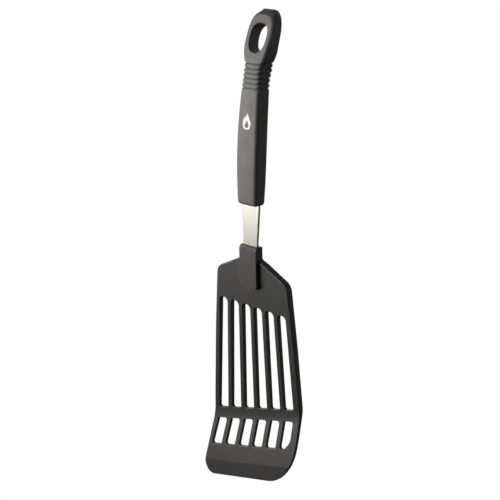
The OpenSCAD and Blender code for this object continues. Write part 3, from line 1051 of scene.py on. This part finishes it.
def across_bend(x, up):
    """Distance from the bend line, square to it."""
    return up * math.cos(SKEW) - x * math.sin(SKEW)


def blade_surface(x, up, side, depth, lift):
    """Places a point of the blade: its edges shrink where the blade is thin."""
    q = across_bend(x, up)
    front = float(np.interp(q, *FRONT_CURVE))
    back = float(np.interp(q, *BACK_CURVE))
    thin = min(1.0, THIN_PART * (back - front) / BLADE_EDGE_R)
    fade = 1 - smooth_step(RIM_UP, RIM_UP + RIM_FADE, up)
    rim = RIM_H * smooth_step(-BEND_RUN, BEND_RUN, q) * fade
    y = back - depth * thin + lift * rim if side else front + depth * thin
    return blade_place(x, y, up)


def skewed(along, q):
    """The point at a distance along the bend line and a distance q from it."""
    x = along * math.cos(SKEW) - q * math.sin(SKEW)
    return x, along * math.sin(SKEW) + q * math.cos(SKEW)


def blade_grid():
    """Points between the outlines, in rows along the bend."""
    rows = spaced(-52, -7, 22) + spaced(-6, 6.4, 12) + spaced(8.5, 160, 66)
    grid = []
    for j, q in enumerate(rows):
        shift = j % 2
        grid += [skewed(along, q) for along in spaced(shift - 66, shift + 66, 60)]
    return grid


def band_creases():
    """Three close lines along the start of the thin leading band."""
    lines = []
    for step in (-CREASE_STEP, 0.0, CREASE_STEP):
        q = section_point(BAND_START + step, 0)[1]
        lines.append([skewed(along, q) for along in spaced(-60, 60, 60)])
    return lines


def blade_rows():
    """Rim of the blade's outside, with the rib that stands behind it."""
    rows = edge_rows(BLADE_EDGE_R, BLADE_BACK_R)
    front = [r for r in rows if r[1] == 0]
    back = [(inset, 1, depth, 1.0) for inset, side, depth, _ in rows if side == 1]
    foot_start = RIM_W - RIM_FOOT_W
    foot = [(foot_start + RIM_FOOT_W * k / 5, 1, 0.0, 1 - smooth_step(0, 1, k / 5))
            for k in range(6)]
    return front + back + foot + [(RIM_W + 0.3, 1, 0.0, 0.0)]


def socket_mesh():
    """The socket, which stands proud of the blade and holds the strip."""
    top, low = HEAD_HIGH.z, HEAD_HIGH.z - SOCKET_LONG
    front = STRIP_LOW.y - SOCKET_PROUD
    w = SOCKET_HALF_W
    radii = [SOCKET_TOP_R, SOCKET_TOP_R, SOCKET_R, SOCKET_R]
    outline = rounded([(w, top), (-w, top), (-w, low), (w, low)], radii)
    bevel = top - SOCKET_BEVEL
    heights = [low, bevel, top]
    fronts = [front + (bevel - low) * SOCKET_SLOPE, front, front + SOCKET_BEVEL_IN]
    back_top = blade_place(0, THICK_TOP + SOCKET_BACK_OVER, SHOULDER_UP + SOCKET_BACK_UP)[1]
    back_low = back_top + (bevel - low) * math.tan(BLADE_LEAN) - SOCKET_BACK_SUNK
    backs = [back_low, back_top, back_top]

    def surface(x, z, side, depth, _):
        deep = 1 + SOCKET_LOW_DEEP * (1 - smooth_step(low, low + SOCKET_LOW_SOFT, z))
        if side:
            y = np.interp(z, heights, backs) - depth
        else:
            y = np.interp(z, heights, fronts) + depth * deep
        return (x, float(y), z)

    grid = [(x, z) for z in spaced(low, top, 20) for x in spaced(-w, w, 10)]
    creases = [[(x, bevel + s) for x in spaced(-w, w, 16)] for s in (-0.3, 0.0, 0.3)]
    loops = [divided(outline, SOCKET_POINT_STEP)]
    rows = [edge_rows(SOCKET_EDGE_R, SOCKET_BACK_R)]
    return flat_piece(loops, rows, grid, creases, surface)


def merge(first, second):
    """Makes the second piece part of the first, as one closed mesh."""
    change = first.modifiers.new("combine", "BOOLEAN")
    change.operation = "UNION"
    change.solver = "EXACT"
    change.object = second
    graph = bpy.context.evaluated_depsgraph_get()
    made = bpy.data.meshes.new_from_object(first.evaluated_get(graph))
    first.modifiers.clear()
    first.data = made
    bpy.data.objects.remove(second)


def make_head(material):
    """The slotted blade and the socket, as one moulding."""
    loops = [divided(blade_outline(), BLADE_POINT_STEP)]
    slots = [shape(i) for i in range(SLOT_COUNT) for shape in (upper_slot, lower_slot)]
    loops += [divided(slot, BLADE_POINT_STEP) for slot in slots]
    rows = [blade_rows()] + [edge_rows(SLOT_EDGE_R, SLOT_BACK_R, 4)] * len(slots)
    points, faces = flat_piece(loops, rows, blade_grid(), band_creases(), blade_surface)
    piece = new_piece("nylon_head", points, faces, material, "turner_head")
    points, faces = socket_mesh()
    merge(piece, new_piece("socket_part", points, faces))
    smooth_shade(piece, 34)


# ------------------------------------------------------------ printed mark

MARK_MIDDLE = (MARK_LOW.z + MARK_HIGH.z) / 2
MARK_PROUD = 0.06
MARK_SUNK = 0.25
MARK_POINT_STEP = 0.6
# The flame is drawn 9 mm high
MARK_SCALE = (MARK_HIGH.z - MARK_LOW.z) / 9


def flame_outlines():
    """A plain flame with a hollow heart."""
    outer = rounded(
        [(0.2, 4.6), (-1.4, 1.6), (-2.1, 2.4), (-3.2, -1.2), (-2.4, -4.4), (2.4, -4.4),
         (3.2, -0.6), (1.6, 2.2)], [0, 0.4, 0, 2.2, 2, 2, 2.2, 1.2])
    heart = rounded(
        [(0.3, 0.6), (-1.4, -2), (-0.9, -3.6), (0.9, -3.6), (1.4, -1.8)], [0, 0.9, 0.7, 0.7, 0.9])
    return outer, heart


def make_mark(material):
    """The print, as a thin shell that follows the handle's front."""
    scaled = [[(x * MARK_SCALE, MARK_MIDDLE + z * MARK_SCALE) for x, z in loop]
              for loop in flame_outlines()]
    loops = [divided(loop, MARK_POINT_STEP) for loop in scaled]
    rows = [(0.0, 0, 0.0, 0.0), (0.0, 1, 0.0, 0.0)]

    def surface(x, z, side, *_):
        a = half_width(z) - FILLET
        face = station(z, 1) - station(z, 2) + CROWN * (x / a) ** 2
        return (x, face + (MARK_SUNK if side else -MARK_PROUD), z)

    grid = [(x, MARK_MIDDLE + z) for z in spaced(-5.5, 5.5, 14) for x in spaced(-3.9, 3.9, 10)]
    points, faces = flat_piece(loops, [rows, rows], grid, [], surface)
    piece = new_piece("flame_print", points, faces, material, "handle_mark")
    smooth_shade(piece, 30)


# ------------------------------------------------- camera, lights and stage

VIEW_TURN = math.radians(44.5)
VIEW_RISE = math.radians(17)
VIEW_ROLL = math.radians(0.3)
VIEW_DISTANCE = 0.8276
LENS = 86.4
SENSOR_WIDTH = 36
AIM = Vector((2.5, -13.7, -143.2)) * MM


# Name, azimuth, rise, distance, level, size, radiance and colour
LIGHTS = (
    ("key", -45, 0, 0.5, -0.02, 0.5, 5.3, (1.0, 0.98, 0.95)),
    ("back", 135, 0, 1.3, -0.1, 1.7, 0.26, (0.96, 0.98, 1.0)),
    ("top", -5, 55, 0.8, -0.12, 0.4, 2.2, (1.0, 1.0, 1.0)),
    ("rear", -150, 5, 1.0, -0.18, 0.9, 2.6, (1.0, 1.0, 1.0)),
)
FILL_COLOUR = (0.96, 0.98, 1.0, 1)
FILL_STRENGTH = 0.04


def make_camera():
    sin_t, cos_t = math.sin(VIEW_TURN), math.cos(VIEW_TURN)
    sin_r, cos_r = math.sin(VIEW_RISE), math.cos(VIEW_RISE)
    back = Vector((sin_t * cos_r, -cos_t * cos_r, sin_r))
    right = Vector((cos_t, sin_t, 0))
    up = back.cross(right)
    roll = Matrix.Rotation(VIEW_ROLL, 3, back)
    right, up = roll @ right, roll @ up
    data = bpy.data.cameras.new("camera")
    data.lens = LENS
    data.sensor_width = SENSOR_WIDTH
    camera = bpy.data.objects.new("camera", data)
    bpy.context.scene.collection.objects.link(camera)
    turn = Matrix((right, up, back)).transposed().to_4x4()
    camera.matrix_world = Matrix.Translation(AIM + back * VIEW_DISTANCE) @ turn
    bpy.context.scene.camera = camera


def area_light(name, azimuth, rise, distance, level, size, radiance, colour):
    """A soft square panel that faces the object from a direction in degrees,
    where azimuth 0 is the front and positive is towards +X. level is the
    height that it faces, and radiance its brightness to the eye."""
    a, e = math.radians(azimuth), math.radians(rise)
    away = Vector((math.sin(a) * math.cos(e), -math.cos(a) * math.cos(e), math.sin(e)))
    data = bpy.data.lights.new(name, "AREA")
    data.shape = "RECTANGLE"
    data.size = size
    data.size_y = size
    data.energy = radiance * math.pi * size * size
    data.color = colour
    lamp = bpy.data.objects.new(name, data)
    bpy.context.scene.collection.objects.link(lamp)
    lamp.visible_camera = False
    lamp.matrix_world = Matrix.Translation(Vector((0, 0, level)) + away * distance) @ \
        away.to_track_quat("Z", "Y").to_matrix().to_4x4()


def make_stage():
    """A pale studio round the object: a wide floor far below it, which curves
    up into a wall on all sides. It is seen but throws no light of its own."""
    tip, inner, outer, floor = 0.01, 2.6, 4.0, -1.1
    bend = outer - inner
    profile = [(tip, floor), (inner, floor)]
    profile += [(inner + bend * math.sin(t), floor + bend * (1 - math.cos(t)))
                for t in spaced(0.1, math.pi / 2, 10)]
    profile += [(outer, 3.0), (0.6 * outer, 4.6), (tip, 5.0)]
    turns = spaced(0, 2 * math.pi, 64)[:-1]
    shell = Shell()
    rings = [shell.row([(r * math.cos(t) / MM, r * math.sin(t) / MM, z / MM) for t in turns])
             for r, z in profile]
    for a, b in zip(rings, rings[1:]):
        shell.join(a, b)
    shell.faces += [tuple(rings[0][::-1]), tuple(rings[-1])]
    stage = new_piece("studio", shell.points, shell.faces)
    stage.data.shade_smooth()
    material = bpy.data.materials.new("studio_white")
    material.use_nodes = True
    tree = material.node_tree
    tree.nodes.clear()
    light = tree.nodes.new("ShaderNodeEmission")
    light.inputs["Color"].default_value = (1, 1, 1, 1)
    light.inputs["Strength"].default_value = 1.0
    out = tree.nodes.new("ShaderNodeOutputMaterial")
    tree.links.new(light.outputs["Emission"], out.inputs["Surface"])
    stage.data.materials.append(material)
    stage.visible_diffuse = False
    stage.visible_glossy = False
    stage.visible_transmission = False
    stage.visible_shadow = False


def make_world():
    world = bpy.data.worlds.new("studio_fill")
    bpy.context.scene.world = world
    world.use_nodes = True
    back = world.node_tree.nodes["Background"]
    back.inputs["Color"].default_value = FILL_COLOUR
    back.inputs["Strength"].default_value = FILL_STRENGTH
    bpy.context.scene.view_settings.view_transform = "Standard"
    bpy.context.scene.view_settings.look = "None"


# -------------------------------------------------------------------- make

make_camera()
make_world()
make_stage()
for panel in LIGHTS:
    area_light(*panel)

make_handle(grip_material())
make_neck(steel_material())
make_head(head_material())
make_mark(print_material())
dress_core(core_material())
